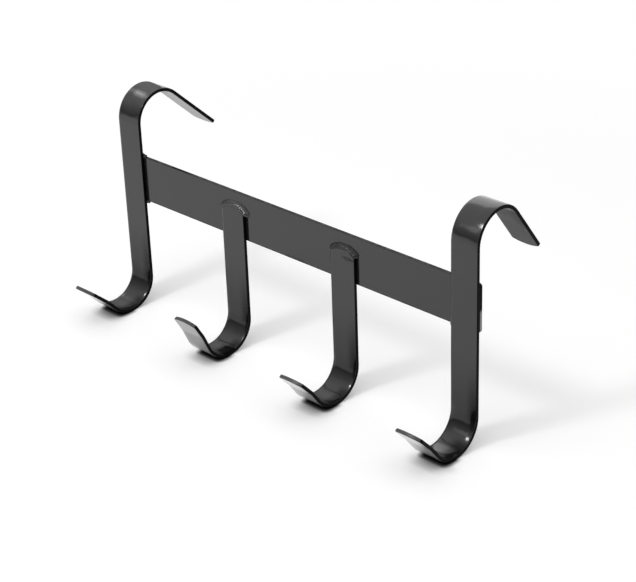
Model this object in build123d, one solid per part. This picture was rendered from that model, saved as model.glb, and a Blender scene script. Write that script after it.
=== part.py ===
"""Tack hanger welded from flat bar, coated black.

Two S-shaped end hooks hang over a rail and carry a flat cross bar. Each ends below in a
hook, and two more hooks are welded to the bar between them.

Frame: X along the cross bar, the hooks open upwards towards -Y, the rail hooks reach back
towards +Y, and Z is up. The origin is on the rail's axis, half way along the bar.
Millimetres and degrees throughout.
"""
import os
from dataclasses import dataclass
from math import asin, degrees, pi, sin

from build123d import *

# Flat bar stock
STRAP_WIDTH = 25.0
STRAP_THICKNESS = 3.0
BAR_HEIGHT = 40.0
BAR_THICKNESS = 3.0

# Layout, measured from the rail's axis
BAR_LENGTH = 385.0
HOOK_COUNT = 4
BAR_DROP = 28.0
HOOK_DROP = 137.5
SHORT_HOOK_RISE = 28.0

# Bends, measured on the inside of the strap
RAIL_RADIUS = 22.5
HOOK_RADIUS = 22.5
FLARE_RADIUS = 20.0

# Cut ends and softened edges
TIP_CROWN = 3.2
SHOULDER_CROWN = 4.8
TIP_CORNER_RADIUS = 2.0
BAR_CORNER_RADIUS = 2.5
STRAP_EDGE_RADIUS = 0.8
BAR_EDGE_RADIUS = 0.6

# Weld beads: a bead's leg stays under the strap's thickness, and over a shoulder it spreads wider
WELD_LEG = 2.6
SHOULDER_SPREAD = 3.9
WELD_END_SHARE = 0.55
WELD_RIPPLE_SHARE = 0.08
WELD_OVERRUN = 3.0
WELD_INSET = 1.5
RIPPLE_LENGTH = 13.0


@dataclass
class Lip:
    """The free end of a hook, past its bend: how far it turns past level, then its run out."""

    rise_angle: float
    straight: float
    flare_angle: float
    tip: float


@dataclass
class RailLeg:
    """The free end of a rail hook, past its bend: how far it turns past level, and its length."""

    fall_angle: float
    length: float


# The bends were made one by one, and each ends a little differently
LEFT_END_LIP = Lip(rise_angle=47.5, straight=12.5, flare_angle=5.5, tip=19.0)
LEFT_INNER_LIP = Lip(rise_angle=66.0, straight=12.5, flare_angle=6.5, tip=17.0)
RIGHT_INNER_LIP = Lip(rise_angle=55.0, straight=11.5, flare_angle=7.0, tip=17.0)
RIGHT_END_LIP = Lip(rise_angle=52.5, straight=14.0, flare_angle=5.5, tip=18.5)
LEFT_RAIL_LEG = RailLeg(fall_angle=43.0, length=61.5)
RIGHT_RAIL_LEG = RailLeg(fall_angle=53.5, length=49.0)

# Planes and heights that follow from the sizes above
SEAT_PLANE_Y = -RAIL_RADIUS
HOOK_PITCH = (BAR_LENGTH - STRAP_WIDTH) / (HOOK_COUNT - 1)
BAR_TOP = -BAR_DROP
BAR_BOTTOM = BAR_TOP - BAR_HEIGHT
SHORT_HOOK_TOP = BAR_BOTTOM + SHORT_HOOK_RISE
HOOK_OUTER_RADIUS = HOOK_RADIUS + STRAP_THICKNESS

# Helpers that shape nothing
CUT_MARGIN = 4.0
LENGTH_TOLERANCE = 0.01
WELD_SECTION_SPACING = 4.5
WELD_SECTIONS_LEAST = 5


def hook_x(place: int) -> float:
    """The middle of a hook along the bar, counted from the left."""
    return (place - (HOOK_COUNT - 1) / 2) * HOOK_PITCH


def lower_line(lip: Lip, top: float) -> list:
    """The back line of a shank from its top, round the hook and out along the lip."""
    shank = Line((SEAT_PLANE_Y, top), (SEAT_PLANE_Y, -HOOK_DROP))
    bend = JernArc(shank @ 1, shank % 1, HOOK_OUTER_RADIUS, -(90 + lip.rise_angle))
    straight = Line(bend @ 1, bend @ 1 + (bend % 1) * lip.straight)
    flare = JernArc(straight @ 1, straight % 1, FLARE_RADIUS, lip.flare_angle)
    tip = Line(flare @ 1, flare @ 1 + (flare % 1) * lip.tip)
    return [shank, bend, straight, flare, tip]


def rail_line(leg: RailLeg) -> list:
    """The inner line of a rail hook, from the top of the shank over to the end of its leg."""
    bend = JernArc((SEAT_PLANE_Y, 0), (0, 1), RAIL_RADIUS, -(90 + leg.fall_angle))
    straight = Line(bend @ 1, bend @ 1 + (bend % 1) * leg.length)
    return [bend, straight]


def bent_strip(line: Wire) -> Part:
    """A strip of the strap stock whose back follows the line, as wide as the stock along X."""
    outline = line.offset_2d(STRAP_THICKNESS, side=Side.RIGHT, closed=True)
    section = Plane.YZ * make_face(outline)
    return extrude(section, STRAP_WIDTH / 2, dir=(1, 0, 0), both=True)


def end_plane(point: Vector, outward: Vector) -> Plane:
    """The plane of the strip at one end: local X across the strip, local Y outwards."""
    across = Vector(1, 0, 0)
    along = Vector(0, outward.X, outward.Y)
    return Plane(origin=(0, point.X, point.Y), x_dir=across, z_dir=across.cross(along))


def crown_radius(crown: float) -> float:
    """The radius of an arc across the strap that stands out by the crown."""
    return (STRAP_WIDTH**2 / 4 + crown**2) / (2 * crown)


def crown_cutter(plane: Plane, crown: float) -> Part:
    """What is cut off a strip that ends on the plane, to leave a rounded end."""
    radius = crown_radius(crown)
    beyond = Rectangle(STRAP_WIDTH + 2 * CUT_MARGIN, crown + CUT_MARGIN, align=(Align.CENTER, Align.MIN))
    waste = Pos(0, -crown) * beyond - Pos(0, -radius) * Circle(radius)
    return extrude(plane * waste, 2 * STRAP_THICKNESS, both=True)


def soften_strip(strip: Part) -> Part:
    """Round the corners of the free ends, then the long edges all the way round."""
    corners = strip.edges().filter_by(lambda edge: is_through(edge) and not at_shoulder(edge))
    rounded = fillet(corners, TIP_CORNER_RADIUS)
    return fillet(outline_edges(rounded), STRAP_EDGE_RADIUS)


def is_through(edge: Edge) -> bool:
    """Whether an edge runs straight through the thickness of the strip."""
    is_straight = edge.geom_type == GeomType.LINE
    return is_straight and abs(edge.length - STRAP_THICKNESS) < LENGTH_TOLERANCE


def at_shoulder(edge: Edge) -> bool:
    """Whether an edge is at the welded top of an inner hook, which keeps its corners."""
    middle = edge.center()
    return middle.Y < SEAT_PLANE_Y and BAR_BOTTOM < middle.Z < BAR_TOP


def outline_edges(strip: Part) -> ShapeList:
    """The edges round the two broad sides: no seam between bends, no edge through the thickness."""
    return strip.edges().filter_by(is_outline)


def is_outline(edge: Edge) -> bool:
    """Whether an edge borders a broad side: a seam is straight and lies across the strip's middle."""
    is_straight = edge.geom_type == GeomType.LINE
    is_seam = is_straight and abs(edge.center().X) < LENGTH_TOLERANCE
    return not is_seam and not is_through(edge)


def end_hook_blank(lip: Lip, leg: RailLeg) -> Part:
    """An end hook as cut and bent: rail hook above, shank, hook below."""
    lower = lower_line(lip, 0)
    upper = rail_line(leg)
    strip = bent_strip(Wire([piece.reversed() for piece in reversed(upper)] + lower))
    strip -= crown_cutter(end_plane(lower[-1] @ 1, lower[-1] % 1), TIP_CROWN)
    strip -= crown_cutter(end_plane(upper[-1] @ 1, upper[-1] % 1), TIP_CROWN)
    return strip


def inner_hook_blank(lip: Lip) -> Part:
    """An inner hook as cut and bent: a short shank with a rounded shoulder, and the hook."""
    lower = lower_line(lip, SHORT_HOOK_TOP)
    strip = bent_strip(Wire(lower))
    strip -= crown_cutter(end_plane(lower[-1] @ 1, lower[-1] % 1), TIP_CROWN)
    strip -= crown_cutter(end_plane(lower[0] @ 0, Vector(0, 1)), SHOULDER_CROWN)
    return strip


def cross_bar() -> Part:
    """The cross bar, with rounded corners and softened edges."""
    middle = (0, SEAT_PLANE_Y + BAR_THICKNESS / 2, (BAR_TOP + BAR_BOTTOM) / 2)
    blank = Pos(*middle) * Box(BAR_LENGTH, BAR_THICKNESS, BAR_HEIGHT)
    rounded = fillet(blank.edges().filter_by(Axis.Y), BAR_CORNER_RADIUS)
    return fillet(rounded.faces().filter_by(Axis.Y).edges(), BAR_EDGE_RADIUS)


def bead_share(along: float, length: float) -> float:
    """A bead's size at a distance along it, as a share of full size: it thins at its ends and ripples."""
    ripple = WELD_RIPPLE_SHARE * sin(2 * pi * along / RIPPLE_LENGTH)
    taper = min(1.0, min(along, length - along) / WELD_LEG)
    return WELD_END_SHARE + (1 + ripple - WELD_END_SHARE) * taper


def full_bead(root: Edge, spread: float) -> Part:
    """A rippled bead along its root, a leg high off the bar and as wide as its spread each way."""
    sections = max(WELD_SECTIONS_LEAST, round(root.length / WELD_SECTION_SPACING) + 1)
    ovals = []
    for index in range(sections):
        place = index / (sections - 1)
        share = bead_share(place * root.length, root.length)
        plane = Plane(origin=root @ place, x_dir=(0, -1, 0), z_dir=root % place)
        ovals.append(plane * Ellipse(WELD_LEG * share, spread * share))
    return loft(ovals)


def shoulder_blank(x: float) -> Part:
    """The rounded shoulder of an inner hook, carried on forwards past the strap's front."""
    radius = crown_radius(SHOULDER_CROWN)
    disc = Pos(x, SHORT_HOOK_TOP - radius) * Circle(radius)
    below = Pos(x, SHORT_HOOK_TOP) * Rectangle(STRAP_WIDTH, 2 * radius, align=(Align.CENTER, Align.MAX))
    front = Plane(origin=(0, SEAT_PLANE_Y, 0), x_dir=(1, 0, 0), z_dir=(0, -1, 0))
    return extrude(front * (disc & below), 2 * STRAP_THICKNESS)


def shoulder_bead(x: float) -> Part:
    """The bead over the rounded shoulder of an inner hook and on past its corners, on the bar's front."""
    radius = crown_radius(SHOULDER_CROWN)
    reach = degrees(asin(STRAP_WIDTH / 2 / radius) + WELD_OVERRUN / radius)
    centre = Plane(origin=(x, SEAT_PLANE_Y, SHORT_HOOK_TOP - radius), x_dir=(1, 0, 0), z_dir=(0, -1, 0))
    root = centre * CenterArc((0, 0), radius, 90 + reach, -2 * reach)
    bead = full_bead(root, SHOULDER_SPREAD)
    in_front = split(bead, bisect_by=Plane.XZ.offset(-SEAT_PLANE_Y), keep=Keep.TOP)
    return in_front - shoulder_blank(x)


def edge_bead(height: float, keep: Keep, start: float, end: float) -> Part:
    """A straight bead behind a strap, in the corner that it makes with an edge of the bar."""
    root = Line((start, SEAT_PLANE_Y, height), (end, SEAT_PLANE_Y, height))
    bead = full_bead(root, WELD_LEG)
    behind = split(bead, bisect_by=Plane.XZ.offset(-SEAT_PLANE_Y), keep=Keep.BOTTOM)
    return split(behind, bisect_by=Plane.XY.offset(height), keep=keep)


def end_hook_beads(x: float, side: int, name: str) -> dict:
    """The beads above and below the bar behind an end hook; each runs on past its inner edge."""
    outer = x + side * (STRAP_WIDTH / 2 - WELD_INSET)
    inner = x - side * (STRAP_WIDTH / 2 + WELD_OVERRUN)
    start, end = min(outer, inner), max(outer, inner)
    return {
        f"{name}_upper_weld": edge_bead(BAR_TOP, Keep.TOP, start, end),
        f"{name}_lower_weld": edge_bead(BAR_BOTTOM, Keep.BOTTOM, start, end),
    }


def inner_hook_beads(x: float, name: str) -> dict:
    """The bead over the shoulder, and the one behind the strap under the bar."""
    reach = STRAP_WIDTH / 2 - WELD_INSET
    return {
        f"{name}_shoulder_weld": shoulder_bead(x),
        f"{name}_lower_weld": edge_bead(BAR_BOTTOM, Keep.BOTTOM, x - reach, x + reach),
    }


def tack_hanger() -> dict:
    """Every piece of the hanger by its name."""
    parts = {"cross_bar": cross_bar()}
    last = HOOK_COUNT - 1
    end_hooks = [
        ("left_end_hook", hook_x(0), -1, LEFT_END_LIP, LEFT_RAIL_LEG),
        ("right_end_hook", hook_x(last), 1, RIGHT_END_LIP, RIGHT_RAIL_LEG),
    ]
    inner_hooks = [
        ("left_inner_hook", hook_x(1), LEFT_INNER_LIP),
        ("right_inner_hook", hook_x(last - 1), RIGHT_INNER_LIP),
    ]
    for name, x, side, lip, leg in end_hooks:
        parts[name] = Pos(x, 0, 0) * soften_strip(end_hook_blank(lip, leg))
        parts.update(end_hook_beads(x, side, name))
    for name, x, lip in inner_hooks:
        parts[name] = Pos(x, 0, 0) * soften_strip(inner_hook_blank(lip))
        parts.update(inner_hook_beads(x, name))
    return parts


def main() -> None:
    """Write one STEP file for each piece."""
    os.makedirs("parts", exist_ok=True)
    for name, part in tack_hanger().items():
        part.label = name
        export_step(part, os.path.join("parts", f"{name}.step"))


main()
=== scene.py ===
"""Tack hanger in flat bar steel: a cross bar, two S-shaped end hooks and two inner hooks.

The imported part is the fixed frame. This script gives its bars their black coat, lays hand-run
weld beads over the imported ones, and sets up the floor, the lamps and the camera.
"""

import logging
import random
from dataclasses import dataclass, replace
from enum import Enum
from math import asin, cos, pi, radians, sin

import bmesh
import bpy
from mathutils import Matrix, Vector


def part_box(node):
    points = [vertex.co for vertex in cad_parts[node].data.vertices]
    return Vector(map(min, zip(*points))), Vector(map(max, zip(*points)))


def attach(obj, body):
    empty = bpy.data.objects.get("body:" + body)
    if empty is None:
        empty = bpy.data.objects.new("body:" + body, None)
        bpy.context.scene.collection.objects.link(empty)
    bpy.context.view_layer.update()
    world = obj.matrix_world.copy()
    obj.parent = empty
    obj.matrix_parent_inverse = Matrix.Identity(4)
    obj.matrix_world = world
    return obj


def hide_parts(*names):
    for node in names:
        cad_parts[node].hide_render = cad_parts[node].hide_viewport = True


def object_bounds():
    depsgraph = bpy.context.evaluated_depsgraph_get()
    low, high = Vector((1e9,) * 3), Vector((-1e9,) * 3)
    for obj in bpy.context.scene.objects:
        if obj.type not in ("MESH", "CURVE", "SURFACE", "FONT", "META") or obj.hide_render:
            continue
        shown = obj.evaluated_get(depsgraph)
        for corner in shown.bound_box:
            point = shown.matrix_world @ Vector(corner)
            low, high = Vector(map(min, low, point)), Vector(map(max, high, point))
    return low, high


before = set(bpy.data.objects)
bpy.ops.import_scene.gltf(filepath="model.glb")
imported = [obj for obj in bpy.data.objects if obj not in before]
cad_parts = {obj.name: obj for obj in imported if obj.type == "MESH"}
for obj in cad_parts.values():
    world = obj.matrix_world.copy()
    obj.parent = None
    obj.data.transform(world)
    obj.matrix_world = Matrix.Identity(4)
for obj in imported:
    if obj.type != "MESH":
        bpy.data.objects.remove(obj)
CAD_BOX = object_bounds()

LOG = logging.getLogger("tack_hanger")
BODY = "root"
MM = 0.001

# The Mix node's sockets for colours go by number, because their names repeat.
MIX_SHARE, MIX_LOW, MIX_HIGH, MIX_RESULT = 0, 6, 7, 2

# How many finer layers a noise has.
ONE_LAYER, TWO_LAYERS, THREE_LAYERS = 1.0, 2.0, 3.0

Colour = tuple[float, float, float]
Span = tuple[float, float]


class Slot(Enum):
    """The record's material slots."""

    STEEL = "coated_steel"
    WELD = "coated_weld"


class Shade:
    """A socket of a shader, on which plain arithmetic adds Math nodes."""

    def __init__(self, sheet: "ShaderSheet", socket: bpy.types.NodeSocket) -> None:
        """Keep the socket and the sheet that it is on."""
        self.sheet = sheet
        self.socket = socket

    def maths(self, operation: str, *values: "Shade | float") -> "Shade":
        """Add a Math node, with the values in its sockets in order, and take its result."""
        settings = {"operation": operation}
        return self.sheet.add("ShaderNodeMath", settings, dict(enumerate(values)))

    def __add__(self, other: "Shade | float") -> "Shade":
        """This value plus the other."""
        return self.maths("ADD", self, other)

    def __radd__(self, other: float) -> "Shade":
        """The other value plus this one."""
        return self.maths("ADD", other, self)

    def __sub__(self, other: "Shade | float") -> "Shade":
        """This value less the other."""
        return self.maths("SUBTRACT", self, other)

    def __rsub__(self, other: float) -> "Shade":
        """The other value less this one."""
        return self.maths("SUBTRACT", other, self)

    def __mul__(self, other: "Shade | float") -> "Shade":
        """This value times the other."""
        return self.maths("MULTIPLY", self, other)

    def __rmul__(self, other: float) -> "Shade":
        """The other value times this one."""
        return self.maths("MULTIPLY", other, self)

    def __neg__(self) -> "Shade":
        """This value with its sign turned."""
        return self.maths("SUBTRACT", 0.0, self)

    def __abs__(self) -> "Shade":
        """This value without its sign."""
        return self.maths("ABSOLUTE", self)

    def power(self, exponent: float) -> "Shade":
        """This value raised to a power."""
        return self.maths("POWER", self, exponent)

    def most(self, other: "Shade | float") -> "Shade":
        """The greater of this value and the other."""
        return self.maths("MAXIMUM", self, other)

    def least(self, other: "Shade | float") -> "Shade":
        """The lesser of this value and the other."""
        return self.maths("MINIMUM", self, other)

    def past(self, start: float, end: float) -> "Shade":
        """0 up to the start, and from there a straight rise that is 1 at the end."""
        return ((self - start) * (1 / (end - start))).most(0.0)

    def step(self, low: float, high: float) -> "Shade":
        """A smooth step from 0 at the low value to 1 at the high one."""
        inputs = {"Value": self, "From Min": low, "From Max": high}
        return self.sheet.add("ShaderNodeMapRange", {"interpolation_type": "SMOOTHSTEP"}, inputs)


class ShaderSheet:
    """The node tree of one material, or of the world."""

    def __init__(self, owner: "bpy.types.Material | bpy.types.World") -> None:
        """Switch the owner to nodes and clear them.

        Args:
            owner: What the nodes are for.
        """
        owner.use_nodes = True
        self.tree = owner.node_tree
        self.tree.nodes.clear()

    def node(self, kind: str, settings: dict[str, object], inputs: dict) -> bpy.types.Node:
        """Add a node: its type, then its settings, then its sockets.

        Args:
            kind: The node's type.
            settings: Its own settings.
            inputs: A value or a shade for each named or numbered socket.

        Returns:
            The node.
        """
        made = self.tree.nodes.new(kind)
        for name, value in settings.items():
            setattr(made, name, value)
        for name, value in inputs.items():
            if isinstance(value, Shade):
                self.tree.links.new(value.socket, made.inputs[name])
            else:
                made.inputs[name].default_value = value
        return made

    def add(
        self,
        kind: str,
        settings: "dict[str, object] | None" = None,
        inputs: "dict | None" = None,
        output: "str | int" = 0,
    ) -> Shade:
        """Add a node as node() does, and take the one of its results that is wanted."""
        made = self.node(kind, settings or {}, inputs or {})
        return Shade(self, made.outputs[output])

    def part(self, vector: Shade, name: str) -> Shade:
        """The X, Y or Z of a vector."""
        return self.add("ShaderNodeSeparateXYZ", {}, {0: vector}, output=name)

    def place(self) -> Shade:
        """The place on the surface: for the hanger's pieces in the row frame, in metres."""
        return self.add("ShaderNodeTexCoord", output="Object")

    def facing(self, name: str) -> Shade:
        """How far the surface faces along X, Y or Z."""
        return self.part(self.add("ShaderNodeTexCoord", output="Normal"), name)

    def noise(self, place: Shade, grain: float, layers: float = TWO_LAYERS) -> Shade:
        """Soft noise from 0 to 1, its grain in metres and its finer layers given."""
        inputs = {"Vector": place, "Scale": 1 / grain, "Detail": layers}
        return self.add("ShaderNodeTexNoise", {}, inputs)

    def blend(
        self, share: "Shade | float", low: "Shade | Colour", high: "Shade | Colour"
    ) -> Shade:
        """A colour between two others.

        Args:
            share: How far it is on the way from the first to the second, from 0 to 1.
            low: The first colour.
            high: The second colour.

        Returns:
            The colour.
        """
        ends = [end if isinstance(end, Shade) else (*end, 1.0) for end in (low, high)]
        inputs = {MIX_SHARE: share, MIX_LOW: ends[0], MIX_HIGH: ends[1]}
        return self.add("ShaderNodeMix", {"data_type": "RGBA"}, inputs, output=MIX_RESULT)

    def seen_rays(self) -> Shade:
        """1 for what the camera sees, also in a reflection or through glass, and 0 for the rest.

        Returns:
            The mask.
        """
        camera, glossy, through = (
            self.add("ShaderNodeLightPath", output=f"Is {kind} Ray")
            for kind in ("Camera", "Glossy", "Transmission")
        )
        return camera.most(glossy.most(through))

    def layers(self, share: "Shade | float", low: Shade, high: Shade) -> Shade:
        """One shader over another, by the upper one's share."""
        return self.add("ShaderNodeMixShader", {}, {0: share, 1: low, 2: high})

    def close(self, surface: Shade, kind: str = "ShaderNodeOutputMaterial") -> None:
        """Send the finished shader to the output."""
        self.node(kind, {}, {"Surface": surface})


@dataclass(frozen=True)
class Scuff:
    """A dull dark mark on the lower front edge of the cross bar, in metres in the row frame.

    Its outline strays by a few times the width of its soft border.
    """

    left: float = -4.0 * MM
    right: float = 17.0 * MM
    top: float = -64.8 * MM
    border: float = 1.6 * MM
    rag: float = 3.0 * MM
    stray: float = 4.0
    strength: float = 0.8
    dulling: float = 0.35

    def mask(self, sheet: ShaderSheet, place: Shade) -> Shade:
        """The mark's share over the surface, ragged at its border.

        Args:
            sheet: The material's nodes.
            place: The place on the bar.

        Returns:
            The share, from 0 to 1.
        """
        ragged = (sheet.noise(place, self.rag, THREE_LAYERS) - 0.5) * (self.stray * self.border)
        across = sheet.part(place, "X") + ragged
        height = sheet.part(place, "Z") + ragged
        inside = across.step(self.left, self.left + self.border)
        inside = inside * (1 - across.step(self.right - self.border, self.right))
        return inside * (1 - height.step(self.top - self.border, self.top)) * self.strength


@dataclass(frozen=True)
class EndReflection:
    """A painted reflection on the lower half of the cross bar's right end: grey for the pale room
    it faces, dark by the strap before it as painted shade.

    Its spans are in metres in the row frame.
    """

    beyond: Span = (191.2 * MM, 192.2 * MM)
    below: Span = (-52.0 * MM, -47.0 * MM)
    behind: Span = (-22.6 * MM, -21.7 * MM)
    colour: Colour = (0.24, 0.24, 0.24)

    def mask(self, sheet: ShaderSheet, place: Shade) -> Shade:
        """The painted reflection's share, kept dark by the strap before it as painted shade.

        Args:
            sheet: The material's nodes.
            place: The place on the bar.

        Returns:
            The share, from 0 to 1.
        """
        low = 1 - sheet.part(place, "Z").step(*self.below)
        clear = sheet.part(place, "Y").step(*self.behind)
        return sheet.part(place, "X").step(*self.beyond) * (low * clear)


@dataclass(frozen=True)
class LowerBendShade:
    """Painted shade over the lower bends of the straps, laid on with the dull near-black shader.

    It is strongest by their right edges, above the bottom and at the bottom itself. A dark bottom
    spreads it over the whole bottom. It ends where the lips begin. Each span is of heights, except
    the ones called aside, which run across a strap, and the lips' span in Y.
    """

    shaded_below: Span = (-140.0 * MM, -85.0 * MM)
    clear: Span = (-157.5 * MM, -151.0 * MM)
    share: float = 0.30
    edge: Span = (-146.0 * MM, -140.0 * MM)
    edge_aside: Span = (1.0 * MM, 10.0 * MM)
    edge_share: float = 0.45
    floor: Span = (-158.0 * MM, -154.0 * MM)
    floor_aside: Span = (0.0 * MM, 8.0 * MM)
    floor_share: float = 0.62
    dark_bottom: Span = (-159.6 * MM, -159.0 * MM)
    dark_bottom_aside: Span = (-4.0 * MM, 5.0 * MM)
    dark_bottom_share: float = 0.0
    lips: Span = (-62.0 * MM, -54.0 * MM)

    def mask(self, sheet: ShaderSheet, place: Shade, aside: Shade) -> Shade:
        """The painted shade's share over the surface.

        Args:
            sheet: The material's nodes.
            place: The place on the strap.
            aside: How far it is to the right of its strap's middle.

        Returns:
            The share, from 0 to 1.
        """
        height = sheet.part(place, "Z")
        low = 1 - height.step(*self.shaded_below)
        above = height.step(*self.edge) * (self.edge_share * aside.step(*self.edge_aside))
        below = 1 - height.step(*self.floor)
        below = below * (self.floor_share * aside.step(*self.floor_aside))
        bend = low * (self.share * height.step(*self.clear) + above + below)
        if self.dark_bottom_share:
            dark_bottom = 1 - height.step(*self.dark_bottom)
            bend = bend + self.dark_bottom_share * (dark_bottom * aside.step(*self.dark_bottom_aside))
        return bend.least(1.0) * sheet.part(place, "Y").step(*self.lips)


@dataclass(frozen=True)
class ShadedLeg:
    """Painted shade on the inner face of a rail hook's leg, laid on with the dull near-black
    shader.
    """

    behind: Span = (6.0 * MM, 16.0 * MM)
    down: Span = (0.2, 0.5)
    share: float = 0.5

    def mask(self, sheet: ShaderSheet, place: Shade) -> Shade:
        """Its share, behind the rail and facing down."""
        down = (-sheet.facing("Z")).step(*self.down)
        return self.share * (sheet.part(place, "Y").step(*self.behind) * down)


@dataclass(frozen=True)
class LipEnd:
    """The lips: a painted sheen of greyer colour on their crowned ends, fading out towards the
    right, and glossier undersides.
    """

    before: Span = (-70.0 * MM, -66.0 * MM)
    under_before: Span = (-62.0 * MM, -60.0 * MM)
    forward: Span = (0.15, 0.35)
    up: Span = (0.1, 0.3)
    fade: Span = (-5.0 * MM, 9.0 * MM)
    colour: Colour = (0.045, 0.045, 0.046)
    dulling: float = 0.24
    under_gloss: float = 0.16
    under_ior: float = 1.7

    def mask(self, sheet: ShaderSheet, place: Shade) -> Shade:
        """The crowned end's share, at the front of a lip and facing forward and up.

        Args:
            sheet: The material's nodes.
            place: The place on the strap.

        Returns:
            The share, from 0 to 1.
        """
        forward = (-sheet.facing("Y")).step(*self.forward)
        front = 1 - sheet.part(place, "Y").step(*self.before)
        return front * (forward * sheet.facing("Z").step(*self.up))

    def under(self, sheet: ShaderSheet, place: Shade) -> Shade:
        """The underside's share, at the front of a strap and facing down."""
        front = 1 - sheet.part(place, "Y").step(*self.under_before)
        return (-sheet.facing("Z")).step(*self.up) * front


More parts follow.
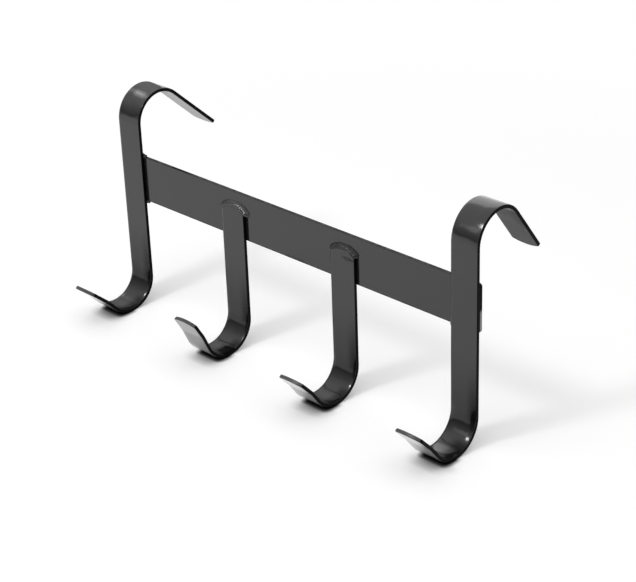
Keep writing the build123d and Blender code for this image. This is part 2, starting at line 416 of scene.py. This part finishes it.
@dataclass(frozen=True)
class BlackCoat:
    """Glossy black coat on bar steel, a little uneven. A dull near-black shader lies over the
    sheared sides, sooner on those facing right, and over a bar's top, bottom and lower brim:
    partly duller cut edges, mostly painted shade.

    Grains and spans are in metres, heights in the row frame, and depths of the bump in
    millimetres. The spans of a side, the right and the top are of how far a face turns that way.
    """

    name: str
    light: Colour = (0.0110, 0.0110, 0.0113)
    dark: Colour = (0.0078, 0.0078, 0.0080)
    # Near-black colour of the dull shader: painted shade on sides, bends and a leg; a scuff's own
    # colour.
    side: Colour = (0.0014, 0.0014, 0.0015)
    gloss: float = 0.16
    gloss_drift: float = 0.06
    side_gloss: float = 0.42
    face_ior: float = 1.60
    side_ior: float = 1.12
    sideways: Span = (0.80, 0.97)
    shaded_rightwards: Span = (0.35, 0.75)
    top_shade_share: float = 0.0
    top_least: float = 0.25
    top_grain: float = 4.0 * MM
    top_patches: Span = (0.40, 0.60)
    # A painted dark line of shade along the bar's lower front brim.
    brim_shade: Span = (-67.5 * MM, -66.7 * MM)
    brim_shade_share: float = 0.9
    drift_grain: float = 28.0 * MM
    peel_grain: float = 1.5 * MM
    peel_depth: float = 0.004
    sway_grain: float = 11.0 * MM
    sway_depth: float = 0.05
    bend_sway: float = 0.22
    upper_bend: Span = (-4.0 * MM, 6.0 * MM)
    lower_bend: Span = (-142.0 * MM, -128.0 * MM)
    strap_pitch: float = 120.0 * MM
    roll_from: float = 8.5 * MM
    roll_to: float = 12.5 * MM
    roll_depth: float = 0.0
    edge_roll_from: float = 10.6 * MM
    edge_roll_depth: float = 0.6
    cup: Span = (6.0 * MM, 16.0 * MM)
    cup_depth: float = 0.0
    swell_from: float = 2.0 * MM
    swell_depth: float = 0.0
    swell_roll: float = 0.3
    lean: float = 0.0
    lip_end: "LipEnd | None" = None
    bend_shade: "LowerBendShade | None" = None
    leg_shade: "ShadedLeg | None" = None
    scuff: "Scuff | None" = None
    thin_end: "EndReflection | None" = None

    def material(self) -> bpy.types.Material:
        """Build the finish as a material.

        Returns:
            The material.
        """
        made = bpy.data.materials.new(self.name)
        sheet = ShaderSheet(made)
        place = sheet.place()
        relief = self.relief(sheet, place)
        face_sockets = self.face_sockets(sheet, place) | {"Normal": relief}
        face = sheet.add("ShaderNodeBsdfPrincipled", {}, face_sockets)
        # The dull shader: painted shade where its share lies over the coat, and duller cut edges.
        side_sockets = {
            "Base Color": (*self.side, 1.0),
            "Roughness": self.side_gloss,
            "Normal": relief,
            "IOR": self.side_ior,
        }
        side = sheet.add("ShaderNodeBsdfPrincipled", {}, side_sockets)
        sheet.close(sheet.layers(self.dull_and_shade_share(sheet, place), face, side))
        return made

    def face_sockets(self, sheet: ShaderSheet, place: Shade) -> dict[str, "Shade | float"]:
        """What goes into the glossy shader, apart from the bump.

        Args:
            sheet: The material's nodes.
            place: The place on the bar.

        Returns:
            A value or a shade for each named socket.
        """
        drift = sheet.noise(place, self.drift_grain, THREE_LAYERS)
        colour = sheet.blend(drift, self.dark, self.light)
        gloss = self.gloss + self.gloss_drift * (drift - 0.5)
        under: dict[str, "Shade | float"] = {}
        if self.scuff is not None:
            mark = self.scuff.mask(sheet, place)
            colour = sheet.blend(mark, colour, self.side)
            gloss = gloss + self.scuff.dulling * mark
        if self.lip_end is not None:
            mark = self.lip_end.mask(sheet, place)
            # Painted sheen: the crowned ends turn greyer, fading out towards the right edge.
            lip_sheen = mark * (1 - self.aside(sheet, place).step(*self.lip_end.fade))
            colour = sheet.blend(lip_sheen, colour, self.lip_end.colour)
            gloss = gloss + self.lip_end.dulling * mark
            under = {
                "Coat Weight": self.lip_end.under(sheet, place),
                "Coat Roughness": self.lip_end.under_gloss,
                "Coat IOR": self.lip_end.under_ior,
            }
        if self.thin_end is not None:
            # Painted reflection: the bar's right end turns grey.
            mark = self.thin_end.mask(sheet, place)
            colour = sheet.blend(mark, colour, self.thin_end.colour)
        return {"Base Color": colour, "Roughness": gloss, "IOR": self.face_ior} | under

    def aside(self, sheet: ShaderSheet, place: Shade) -> Shade:
        """How far right of its strap's middle a point is; the straps stand one pitch apart."""
        along = sheet.part(place, "X") + 2 * self.strap_pitch
        return along.maths("MODULO", along, self.strap_pitch) - self.strap_pitch / 2

    def relief(self, sheet: ShaderSheet, place: Shade) -> Shade:
        """The bump of the coat: fine orange peel over the slow sway of hand-bent bar.

        The broad faces of a strap roll off a little at its left edge. In its lower bend they roll
        off towards both edges, and may lean to the right. In its upper bend they may be cupped,
        or swell towards the right.

        Args:
            sheet: The material's nodes.
            place: The place on the bar.

        Returns:
            The bumped normal.
        """
        peel = self.peel_depth * sheet.noise(place, self.peel_grain)
        sway = sheet.noise(place, self.sway_grain, ONE_LAYER)
        if not self.roll_depth:
            inputs = {"Height": peel + self.sway_depth * sway, "Distance": MM}
            return sheet.add("ShaderNodeBump", {}, inputs)
        aside, rise = self.aside(sheet, place), sheet.part(place, "Z")
        upper, lower = rise.step(*self.upper_bend), 1 - rise.step(*self.lower_bend)
        height = peel + (self.sway_depth + self.bend_sway * (upper + lower)) * sway
        roll = abs(aside).past(self.roll_from, self.roll_to)
        edge = (-aside).past(self.edge_roll_from, self.roll_to)
        rolled = lower + self.swell_roll * upper if self.swell_depth else lower
        height = height - self.roll_depth * (roll * roll * rolled)
        height = height - self.edge_roll_depth * (edge * edge)
        if self.cup_depth:
            dip = aside * (1 / self.roll_to)
            height = height + self.cup_depth * (dip * dip * rise.step(*self.cup))
        if self.swell_depth:
            swell = aside.past(self.swell_from, self.roll_to)
            height = height - self.swell_depth * (swell * swell * upper)
        if self.lean:
            height = height - (self.lean / MM) * (aside * lower)
        return sheet.add("ShaderNodeBump", {}, {"Height": height, "Distance": MM})

    def dull_and_shade_share(self, sheet: ShaderSheet, place: Shade) -> Shade:
        """The dull near-black shader's share, mostly painted shade: on the sides, in the lower
        bends and on a leg, and none under the bar end's painted reflection.

        Args:
            sheet: The material's nodes.
            place: The place on the bar.

        Returns:
            The share, from 0 to 1.
        """
        dull = self.side_shade_mask(sheet, place)
        if self.bend_shade is not None:
            dull = dull.most(self.bend_shade.mask(sheet, place, self.aside(sheet, place)))
        if self.leg_shade is not None:
            dull = dull.most(self.leg_shade.mask(sheet, place))
        if self.thin_end is not None:
            # No dull shader under the bar end's painted reflection.
            dull = dull * (1 - self.thin_end.mask(sheet, place))
        return dull

    def side_shade_mask(self, sheet: ShaderSheet, place: Shade) -> Shade:
        """Painted shade: 1 on the narrow sheared sides, sooner on those facing right, and 0 on the
        broad faces, patchy on a bar's long edges and along its lower brim.

        Args:
            sheet: The material's nodes.
            place: The place on the bar.

        Returns:
            The mask.
        """
        aside = sheet.facing("X")
        # Sides facing right turn dark sooner: painted shade on the side away from the lamps.
        side = abs(aside).step(*self.sideways).most(aside.step(*self.shaded_rightwards))
        if self.top_shade_share:
            patches = sheet.noise(place, self.top_grain).step(*self.top_patches)
            patchy = self.top_least + (1 - self.top_least) * patches
            top = self.top_shade_share * abs(sheet.facing("Z")).step(*self.sideways)
            brim_shade = self.brim_shade_share * (1 - sheet.part(place, "Z").step(*self.brim_shade))
            side = side.most(top.most(brim_shade) * patchy)
        return side


@dataclass(frozen=True)
class WeldCoat:
    """The same black coat, thinner and lumpier over a weld bead."""

    name: str
    light: Colour = (0.013, 0.013, 0.0133)
    dark: Colour = (0.006, 0.006, 0.0062)
    gloss: float = 0.16
    gloss_drift: float = 0.10
    ior: float = 1.60
    grain: float = 3.0 * MM
    lump_grain: float = 1.5 * MM
    lump_depth: float = 0.07

    def material(self) -> bpy.types.Material:
        """Build the finish as a material.

        Returns:
            The material.
        """
        made = bpy.data.materials.new(self.name)
        sheet = ShaderSheet(made)
        place = sheet.place()
        drift = sheet.noise(place, self.grain, THREE_LAYERS)
        lumps = self.lump_depth * sheet.noise(place, self.lump_grain, THREE_LAYERS)
        sockets = {
            "Base Color": sheet.blend(drift, self.dark, self.light),
            "Roughness": self.gloss + self.gloss_drift * (drift - 0.5),
            "Normal": sheet.add("ShaderNodeBump", {}, {"Height": lumps, "Distance": MM}),
            "IOR": self.ior,
        }
        sheet.close(sheet.add("ShaderNodeBsdfPrincipled", {}, sockets))
        return made


@dataclass(frozen=True)
class Puddle:
    """One drop of weld metal: its middle and its radius, in metres."""

    middle: Vector
    radius: float


@dataclass
class BarStock:
    """The flat bar and the layout that the beads follow, in metres."""

    strap_width: float = 25.0 * MM
    strap_thickness: float = 3.0 * MM
    shoulder_crown: float = 4.8 * MM

    def crown_radius(self) -> float:
        """The radius of an inner hook's rounded shoulder."""
        half = self.strap_width / 2
        return (half**2 + self.shoulder_crown**2) / (2 * self.shoulder_crown)


@dataclass
class WeldBead:
    """A run of weld metal that takes the place of a packed one."""

    node: str
    seed: int
    stock: BarStock

    def build(self, coat: bpy.types.Material) -> bpy.types.Object:
        """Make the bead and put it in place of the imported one.

        Args:
            coat: Its finish.

        Returns:
            The piece.
        """
        piece = bpy.data.objects.new(self.name(), self.skin())
        bpy.context.scene.collection.objects.link(piece)
        piece.data.materials.append(coat)
        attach(piece, BODY)
        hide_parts(self.node)
        return piece

    def name(self) -> str:
        """The piece's name."""
        return self.node.replace("_weld", "_bead")

    def skin(self) -> bpy.types.Mesh:
        """Make the bead's closed mesh."""
        raise NotImplementedError


@dataclass
class ShoulderBead(WeldBead):
    """The bead round the crown of an inner hook, from the strap's front edge to the cross bar.

    Across the bead, it climbs from a groove on the strap to a crest and falls to the bar. Along
    the bead stand its ripples. Beyond the strap's corners, where it overruns them, it is a low
    hump on the bar. A second pass is a low ridge on the strap's front below the crown, given by
    the places of its two ends from the crown's top. Lengths are in metres, and the crest's place,
    the heights and the widths without a unit are shares of the full ones.
    """

    hook: str
    left_overrun: float
    right_overrun: float
    width: float = 4.2 * MM
    end_width: float = 0.3
    lap: float = 0.7 * MM
    proud: float = 0.15 * MM
    root: float = 1.0 * MM
    groove: float = 0.6 * MM
    crest: float = 0.42
    fall: float = 2.2
    fall_round: float = 0.95
    hump_round: float = 0.8
    overrun_height: float = 0.6
    second_pass: tuple[Span, ...] = ()
    second_width: float = 3.0 * MM
    second_end_width: float = 0.25
    second_height: float = 1.2 * MM
    second_ripple: float = 0.25
    second_ripples: int = 7
    second_slices: int = 60
    taper: float = 3.2 * MM
    pitch: float = 1.8 * MM
    pitch_jitter: float = 0.35
    ripple: float = 0.26 * MM
    trough: float = 0.6
    bow: float = 0.9
    wander: float = 0.35 * MM
    slices_per_ripple: int = 9
    strips: int = 16

    def skin(self) -> bpy.types.Mesh:
        """Sweep the bead's section round the crown, over its ripples, and add the second pass.

        Returns:
            The mesh.
        """
        draw = random.Random(self.seed)
        low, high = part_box(self.hook)
        bar_low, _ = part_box("cross_bar")
        radius = self.stock.crown_radius()
        middle = Vector(((low.x + high.x) / 2, bar_low.y, high.z - radius))
        corner = radius * asin(self.stock.strap_width / 2 / radius)
        start, end = -corner - self.left_overrun, corner + self.right_overrun
        crests = [start]
        while crests[-1] < end:
            stretch = 1 + draw.uniform(-self.pitch_jitter, self.pitch_jitter)
            crests.append(crests[-1] + self.pitch * stretch)
        widths = [self.width + draw.uniform(-self.wander, self.wander) for _ in crests]
        count = self.slices_per_ripple * (len(crests) - 1)
        rings = []
        for index in range(count + 1):
            run = start + (end - start) * index / count
            place = sum(1 for crest in crests if crest <= run) - 1
            place = min(place, len(crests) - 2)
            part = (run - crests[place]) / (crests[place + 1] - crests[place])
            width = widths[place] + (widths[place + 1] - widths[place]) * part
            edge = min(run - start, end - run) / self.taper
            full = (1 - (1 - min(1.0, edge)) ** 2) ** 0.5
            width = width * (self.end_width + (1 - self.end_width) * full)
            past = min(1.0, max(0.0, (abs(run) - corner) / self.taper))
            angle = run / radius
            outward = Vector((sin(angle), 0.0, cos(angle)))
            rings.append(self.ring(middle, outward, radius, width, full, past, place + part))
        passes = [rings]
        if self.second_pass:
            front = bar_low.y - self.stock.strap_thickness
            passes.append(self.low_rings(Vector((middle.x, front, high.z))))
        return self.loft(passes)

    def ring(
        self,
        middle: Vector,
        outward: Vector,
        radius: float,
        width: float,
        full: float,
        past: float,
        phase: float,
    ) -> list[Vector]:
        """One closed section of the bead.

        Args:
            middle: The middle of the crown's arc, on the front of the cross bar.
            outward: The way out from it at this section.
            radius: The crown's radius.
            width: How far the bead reaches on the cross bar.
            full: The share of the full height, less at the ends.
            past: How far the section is past the strap's corner, from 0 to 1.
            phase: The place along the ripples, one for each.

        Returns:
            The section's points.
        """
        top = self.stock.strap_thickness + self.proud
        inner = radius - self.lap
        points = []
        for index in range(self.strips + 1):
            share = index / self.strips
            if share < self.crest:
                leaning = top - (self.groove + self.proud) * (1 - share / self.crest) ** 2
            else:
                fallen = (share - self.crest) / (1 - self.crest)
                leaning = top * (1 - fallen**self.fall) ** self.fall_round
            arch = 4 * share * (1 - share)
            humped = self.overrun_height * past * top * arch**self.hump_round
            lobe = abs(sin(pi * (phase + self.bow * (share - 0.5) ** 2))) - self.trough
            height = full * ((1 - past) * leaning + humped)
            height = height + full * self.ripple * lobe * arch**0.5
            height = max(height, -self.root / 2)
            out = inner + (width + self.lap) * share
            points.append(middle + outward * out - Vector((0.0, height, 0.0)))
        for out in (inner + (width + self.lap), inner):
            points.append(middle + outward * out + Vector((0.0, self.root, 0.0)))
        return points

    def low_rings(self, top: Vector) -> list[list[Vector]]:
        """The sections of the second pass.

        Args:
            top: The crown's top, on the strap's front.

        Returns:
            The points of each section.
        """
        first, last = (top + Vector((aside, 0.0, rise)) for aside, rise in self.second_pass)
        shares = [index / self.second_slices for index in range(self.second_slices + 1)]
        return [self.low_ring(first.lerp(last, share), last - first, share) for share in shares]

    def low_ring(self, core: Vector, run: Vector, share: float) -> list[Vector]:
        """One closed section of the second pass.

        Args:
            core: The ridge's middle line at this section, on the strap's front.
            run: The way along the ridge.
            share: How far along it the section is, from 0 to 1.

        Returns:
            The section's points.
        """
        outward = Vector((-run.z, 0.0, run.x)).normalized()
        rippled = 1 + self.second_ripple * sin(self.second_ripples * pi * share)
        full = (4 * share * (1 - share)) ** 0.5 * rippled
        width = self.second_width * (self.second_end_width + (1 - self.second_end_width) * full)
        points = []
        for index in range(self.strips + 1):
            across = index / self.strips
            arch = sin(pi * across) ** self.hump_round
            height = (self.root / 2 + self.second_height * full) * arch - self.root / 2
            out = width * (across - 0.5)
            points.append(core + outward * out - Vector((0.0, height, 0.0)))
        points += [end + Vector((0.0, self.root, 0.0)) for end in (points[-1], points[0])]
        return points

    def loft(self, passes: list[list[list[Vector]]]) -> bpy.types.Mesh:
        """Join the sections of each pass into a closed skin, smooth over its front.

        Args:
            passes: The points of each section of each pass.

        Returns:
            The mesh.
        """
        mesh = bpy.data.meshes.new(self.name())
        bead = bmesh.new()
        for rings in passes:
            loops = [[bead.verts.new(point) for point in ring] for ring in rings]
            size = len(loops[0])
            for near, far in zip(loops, loops[1:]):
                for index in range(size):
                    after = (index + 1) % size
                    face = bead.faces.new((near[index], near[after], far[after], far[index]))
                    face.smooth = index < self.strips
            bead.faces.new(loops[0])
            bead.faces.new(loops[-1])
        bmesh.ops.recalc_face_normals(bead, faces=bead.faces)
        bead.to_mesh(mesh)
        bead.free()
        return mesh


@dataclass
class EdgeBead(WeldBead):
    """A straight bead behind a strap, in the corner that it makes with an edge of the cross bar.

    Lengths are in metres. The other sizes are shares of a drop's radius.
    """

    radius: float = 2.3 * MM
    end_size: float = 0.6
    end_growth: float = 0.2
    growth: float = 5.0
    size_jitter: float = 0.1
    behind: float = 0.35
    beyond: float = 0.25
    pitch: float = 1.6 * MM
    jitter: float = 0.3 * MM
    voxel: float = 0.32 * MM
    melt_rounds: int = 5
    roundness: int = 3

    def puddles(self) -> list[Puddle]:
        """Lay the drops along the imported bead's length, smaller towards its ends.

        Returns:
            The drops.
        """
        low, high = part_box(self.node)
        bar_low, bar_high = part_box("cross_bar")
        above = low.z > (bar_low.z + bar_high.z) / 2
        edge = bar_high.z if above else bar_low.z
        outward = 1 if above else -1
        length = high.x - low.x
        count = round(length / self.pitch) + 1
        draw = random.Random(self.seed)
        drops = []
        for index in range(count):
            share = index / (count - 1)
            grown = min(1.0, self.growth * min(share, 1 - share) + self.end_growth)
            size = self.end_size + (1 - self.end_size) * grown
            size = size * (1 + draw.uniform(-self.size_jitter, self.size_jitter))
            radius = self.radius * size
            x = low.x + radius + (length - 2 * radius) * share
            y = bar_low.y + self.behind * radius + draw.uniform(-self.jitter, self.jitter) / 2
            z = edge + outward * (self.beyond * radius + draw.uniform(0, self.jitter))
            drops.append(Puddle(Vector((x, y, z)), radius))
        return drops

    def skin(self) -> bpy.types.Mesh:
        """Melt the drops together into one smooth closed mesh.

        Returns:
            The mesh.
        """
        drops = bpy.data.meshes.new("drops")
        bead = bmesh.new()
        for puddle in self.puddles():
            place = Matrix.Translation(puddle.middle) @ Matrix.Scale(puddle.radius, 4)
            bmesh.ops.create_icosphere(
                bead, subdivisions=self.roundness, radius=1.0, matrix=place
            )
        bead.to_mesh(drops)
        bead.free()
        rough = bpy.data.objects.new("rough_bead", drops)
        bpy.context.scene.collection.objects.link(rough)
        remesh = rough.modifiers.new("melt", "REMESH")
        remesh.mode = "VOXEL"
        remesh.voxel_size = self.voxel
        remesh.use_smooth_shade = True
        smooth = rough.modifiers.new("settle", "SMOOTH")
        smooth.iterations = self.melt_rounds
        depsgraph = bpy.context.evaluated_depsgraph_get()
        melted = bpy.data.meshes.new_from_object(rough.evaluated_get(depsgraph))
        melted.name = self.name()
        bpy.data.objects.remove(rough)
        bpy.data.meshes.remove(drops)
        return melted


@dataclass
class Hanger:
    """The whole hanger: its five coated bars and its eight weld beads."""

    stock: BarStock
    first_edge_seed: int = 20

    def dress_bars(self) -> None:
        """Give each bar its coat: one for the straps, changed where a hook differs."""
        # Every strap's coat carries painted shade in its lower bends and a painted sheen on its lip
        # ends.
        strap = BlackCoat("strap_coat", roll_depth=0.7, bend_shade=LowerBendShade(), lip_end=LipEnd())
        coats = {
            "left_end_hook": replace(strap, name="left_end_coat", cup_depth=0.8, lean=0.15),
            "left_inner_hook": replace(
                # This hook's painted shade also covers its bend's whole bottom.
                strap, name="dark_bottom_coat", bend_shade=LowerBendShade(dark_bottom_share=0.95)
            ),
            "right_inner_hook": strap,
            "right_end_hook": replace(
                strap,
                name="right_end_coat",
                roll_from=5.5 * MM,
                roll_depth=1.0,
                swell_depth=0.4,
                # This hook's painted shade reaches further left over its bend's bottom.
                bend_shade=LowerBendShade(floor_aside=(-5.0 * MM, 6.0 * MM), floor_share=0.75),
                # Painted shade on the inner face of its leg.
                leg_shade=ShadedLeg(),
            ),
            "cross_bar": BlackCoat(
                # The bar's top, bottom and lower brim get painted shade, its right end a painted
                # reflection.
                "bar_coat", top_shade_share=0.6, scuff=Scuff(), thin_end=EndReflection()
            ),
        }
        for node, coat in coats.items():
            self.dress(node, coat.material())

    def dress(self, node: str, coat: bpy.types.Material) -> None:
        """Put a coat on one packed bar.

        Args:
            node: The bar's node.
            coat: Its finish.
        """
        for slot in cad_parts[node].material_slots:
            slot.material = coat
        LOG.info("coated %s, slot %s", node, Slot.STEEL.value)

    def lay_beads(self) -> None:
        """Lay the two shoulder beads, then the six beads at the edges of the cross bar."""
        # The left shoulder bead's coat is lighter: a painted lift, so that the bead reads as light
        # as the bar.
        lit_weld_coat = WeldCoat("weld_coat", light=(0.030, 0.030, 0.0305), dark=(0.012, 0.012, 0.0122))
        deep_coat = WeldCoat("deep_weld_coat", gloss=0.26, ior=1.45)
        left = ShoulderBead(
            "left_inner_hook_shoulder_weld",
            11,
            self.stock,
            "left_inner_hook",
            left_overrun=2.5 * MM,
            right_overrun=3.5 * MM,
            groove=0.35 * MM,
            fall=1.3,
        )
        right = ShoulderBead(
            "right_inner_hook_shoulder_weld",
            12,
            self.stock,
            "right_inner_hook",
            left_overrun=1.5 * MM,
            right_overrun=1.2 * MM,
            width=3.5 * MM,
            fall=1.4,
            second_pass=((-0.5 * MM, -6.6 * MM), (11.8 * MM, -7.3 * MM)),
        )
        sides = ("left", "right")
        edges = [f"{side}_end_hook_{level}_weld" for side in sides for level in ("upper", "lower")]
        edges += [f"{side}_inner_hook_lower_weld" for side in sides]
        self.lay(left, lit_weld_coat.material())
        deep = deep_coat.material()
        self.lay(right, deep)
        for seed, node in enumerate(edges, self.first_edge_seed):
            self.lay(EdgeBead(node, seed, self.stock), deep)

    def lay(self, bead: WeldBead, coat: bpy.types.Material) -> None:
        """Build one bead and report it."""
        piece = bead.build(coat)
        LOG.info("laid %s, %d faces", piece.name, len(piece.data.polygons))


@dataclass(frozen=True)
class PaleFloor:
    """A plain matt floor, shown white to the camera and in reflections, with the shadow kept.

    In front of the bar, contact shadows darken it: a broad one and a crisp core.
    """

    name: str = "pale_floor"
    colour: Colour = (0.86, 0.86, 0.86)
    drift: float = 0.99
    drift_grain: float = 0.4
    lift: float = 0.16
    mirrored_lift: float = 0.10
    near: float = 0.26
    far: float = 0.75
    contact: float = 12.0 * MM
    contact_depth: float = 0.8
    core: float = 4.6 * MM
    core_depth: float = 2.8
    clear: Span = (-50.0 * MM, -43.0 * MM)
    samples: int = 16

    def material(self) -> bpy.types.Material:
        """Build the finish as a material.

        Returns:
            The material.
        """
        made = bpy.data.materials.new(self.name)
        sheet = ShaderSheet(made)
        place = sheet.place()
        open_share = self.open_share(sheet, self.contact, self.contact_depth)
        open_share = open_share * self.open_share(sheet, self.core, self.core_depth)
        behind = sheet.part(place, "Y").step(*self.clear)
        open_share = open_share + (1 - open_share) * behind
        worn = tuple(self.drift * part for part in self.colour)
        tint = sheet.blend(sheet.noise(place, self.drift_grain), worn, self.colour)
        tint = sheet.blend(open_share, (0.0, 0.0, 0.0), tint)
        paper = sheet.add("ShaderNodeBsdfDiffuse", {}, {"Color": tint})
        seen = sheet.seen_rays()
        mirrored = sheet.add("ShaderNodeLightPath", output="Is Glossy Ray")
        strength = self.lift * seen - (self.lift - self.mirrored_lift) * mirrored
        lift = sheet.add("ShaderNodeEmission", {}, {"Strength": strength * open_share})
        paper = sheet.add("ShaderNodeAddShader", {}, {0: paper, 1: lift})
        white = sheet.add("ShaderNodeEmission")
        reach = sheet.add("ShaderNodeVectorMath", {"operation": "LENGTH"}, {0: place}, "Value")
        sheet.close(sheet.layers(seen * reach.step(self.near, self.far), paper, white))
        return made

    def open_share(self, sheet: ShaderSheet, reach: float, depth: float) -> Shade:
        """How open the floor is to what stands within a reach over it, raised to a power."""
        settings, inputs = {"samples": self.samples}, {"Distance": reach}
        return sheet.add("ShaderNodeAmbientOcclusion", settings, inputs, "AO").power(depth)


@dataclass(frozen=True)
class GreyWall:
    """The studio's round wall, grey at its foot and white at its top, only for reflections."""

    name: str = "grey_wall"
    radius: float = 3.2
    height: float = 2.6
    sides: int = 96
    dark: Colour = (0.10, 0.10, 0.10)
    pale: Colour = (1.0, 1.0, 1.0)
    climb: float = 0.8

    def build(self, level: float) -> None:
        """Stand the wall on the floor.

        Args:
            level: The floor's height.
        """
        mesh = bpy.data.meshes.new(self.name)
        turns = [2 * pi * index / self.sides for index in range(self.sides)]
        corners = [
            (self.radius * cos(turn), self.radius * sin(turn), height)
            for turn in turns
            for height in (level, level + self.height)
        ]
        count = len(corners)
        panels = [
            (foot, (foot + 2) % count, (foot + 3) % count, foot + 1) for foot in range(0, count, 2)
        ]
        mesh.from_pydata(corners, [], panels)
        mesh.materials.append(self.material(level))
        wall = bpy.data.objects.new(self.name, mesh)
        wall.visible_camera = False
        wall.visible_diffuse = False
        wall.visible_transmission = False
        wall.visible_shadow = False
        bpy.context.scene.collection.objects.link(wall)

    def material(self, level: float) -> bpy.types.Material:
        """Build the finish as a material.

        Args:
            level: The height of the wall's foot.

        Returns:
            The material.
        """
        made = bpy.data.materials.new(self.name)
        sheet = ShaderSheet(made)
        rise = (sheet.part(sheet.place(), "Z") - level) * (1 / self.height)
        grey = sheet.blend(rise.power(self.climb), self.dark, self.pale)
        sheet.close(sheet.add("ShaderNodeEmission", {}, {"Color": grey}))
        return made


@dataclass(frozen=True)
class Lamp:
    """A soft round area lamp, aimed at the middle of the hanger.

    Its place and its size are in metres and its power in watts. It may light some nodes only.
    """

    name: str
    place: tuple[float, float, float]
    size: float
    power: float
    mirrored: bool = True
    only: tuple[str, ...] = ()

    def build(self, aim: Vector) -> None:
        """Hang the lamp.

        Args:
            aim: The point that it lights.
        """
        data = bpy.data.lights.new(self.name, "AREA")
        data.shape = "DISK"
        data.size = self.size
        data.energy = self.power
        lamp = bpy.data.objects.new(self.name, data)
        lamp.location = self.place
        lamp.rotation_euler = (Vector(self.place) - aim).to_track_quat("Z", "Y").to_euler()
        lamp.visible_camera = False
        lamp.visible_glossy = self.mirrored
        if self.only:
            lit = bpy.data.collections.new(f"{self.name}_lit")
            for name in self.only:
                lit.objects.link(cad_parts[name])
            lamp.light_linking.receiver_collection = lit
        bpy.context.scene.collection.objects.link(lamp)


@dataclass(frozen=True)
class ViewPoint:
    """The camera, as it stood for the photograph. Angles in degrees, lengths in metres.

    The lens and the sensor are in millimetres.
    """

    azimuth: float = 44.57
    elevation: float = 27.535
    roll: float = -2.106
    distance: float = 1.44694
    aim: tuple[float, float, float] = (0.030315, -0.0225, -0.087377)
    lens: float = 104.83
    sensor: float = 36.0
    nearest: float = 0.05

    def build(self) -> None:
        """Place the camera and make it the scene's own."""
        turn, lift, roll = radians(self.azimuth), radians(self.elevation), radians(self.roll)
        back = Vector((sin(turn) * cos(lift), -cos(turn) * cos(lift), sin(lift)))
        level = Vector((cos(turn), sin(turn), 0.0))
        upright = back.cross(level)
        right = cos(roll) * level + sin(roll) * upright
        up = back.cross(right)
        data = bpy.data.cameras.new("camera")
        data.lens = self.lens
        data.sensor_fit = "HORIZONTAL"
        data.sensor_width = self.sensor
        data.clip_start = self.nearest
        camera = bpy.data.objects.new("camera", data)
        axes = Matrix((right, up, back)).transposed().to_4x4()
        camera.matrix_world = Matrix.Translation(Vector(self.aim) + back * self.distance) @ axes
        bpy.context.scene.collection.objects.link(camera)
        bpy.context.scene.camera = camera


@dataclass
class Studio:
    """The floor, the soft room light, the lamps and the camera.

    The two large lamps light the whole hanger. The small ones give the end hooks their glints.
    """

    floor_reach: float = 6.0
    floor_sides: int = 96
    room_high: Colour = (1.05, 1.05, 1.05)
    room_low: Colour = (0.02, 0.02, 0.02)
    room_climb: Span = (0.10, 0.85)
    lamps: tuple[Lamp, ...] = (
        Lamp("key_lamp", (-0.22, -0.98, 1.08), size=0.28, power=5.0),
        Lamp("fill_lamp", (-0.20, -0.75, 1.40), size=1.40, power=4.0, mirrored=False),
        Lamp(
            "back_lamp", (-0.057, 0.2415, 0.1156), size=0.38, power=0.37, only=("right_end_hook",)
        ),
        Lamp("side_lamp", (-0.830, 0.030, 0.634), size=0.14, power=0.10, only=("left_end_hook",)),
        Lamp("side_glow", (-0.850, 0.030, 0.660), size=0.34, power=0.36, only=("left_end_hook",)),
        Lamp("edge_lamp", (-0.291, -0.777, 0.465), size=0.30, power=0.24, only=("right_end_hook",)),
    )

    def build(self) -> None:
        """Set up the whole stage."""
        bpy.context.scene.view_settings.view_transform = "Standard"
        low, high = CAD_BOX
        aim = (Vector(low) + Vector(high)) / 2
        self.lay_floor(low[2])
        GreyWall().build(low[2])
        self.light_room()
        for lamp in self.lamps:
            lamp.build(aim)
        ViewPoint().build()
        LOG.info("set up the floor, the room, %d lamps and the camera", len(self.lamps))

    def lay_floor(self, level: float) -> None:
        """Lay the floor at a level.

        Args:
            level: The height that the hooks stand on.
        """
        mesh = bpy.data.meshes.new("floor")
        disc = bmesh.new()
        bmesh.ops.create_circle(
            disc, cap_ends=True, segments=self.floor_sides, radius=self.floor_reach
        )
        disc.to_mesh(mesh)
        disc.free()
        mesh.materials.append(PaleFloor().material())
        floor = bpy.data.objects.new("floor", mesh)
        floor.location.z = level
        bpy.context.scene.collection.objects.link(floor)

    def light_room(self) -> None:
        """Light the room softly, brighter overhead, and white where the camera sees it."""
        world = bpy.data.worlds.new("room")
        bpy.context.scene.world = world
        sheet = ShaderSheet(world)
        way = sheet.add("ShaderNodeTexCoord", output="Generated")
        rise = sheet.part(way, "Z").step(*self.room_climb)
        tone = sheet.blend(rise, self.room_low, self.room_high)
        room = sheet.add("ShaderNodeBackground", {}, {"Color": tone})
        pale = sheet.add("ShaderNodeBackground", {}, {"Color": (1, 1, 1, 1)})
        sheet.close(sheet.layers(sheet.seen_rays(), room, pale), "ShaderNodeOutputWorld")


def main() -> None:
    """Build the pieces in order, then the stage."""
    logging.basicConfig(level=logging.INFO, format="%(message)s")
    hanger = Hanger(BarStock())
    hanger.dress_bars()
    hanger.lay_beads()
    Studio().build()
    bpy.context.view_layer.update()


if __name__ == "__main__":
    main()
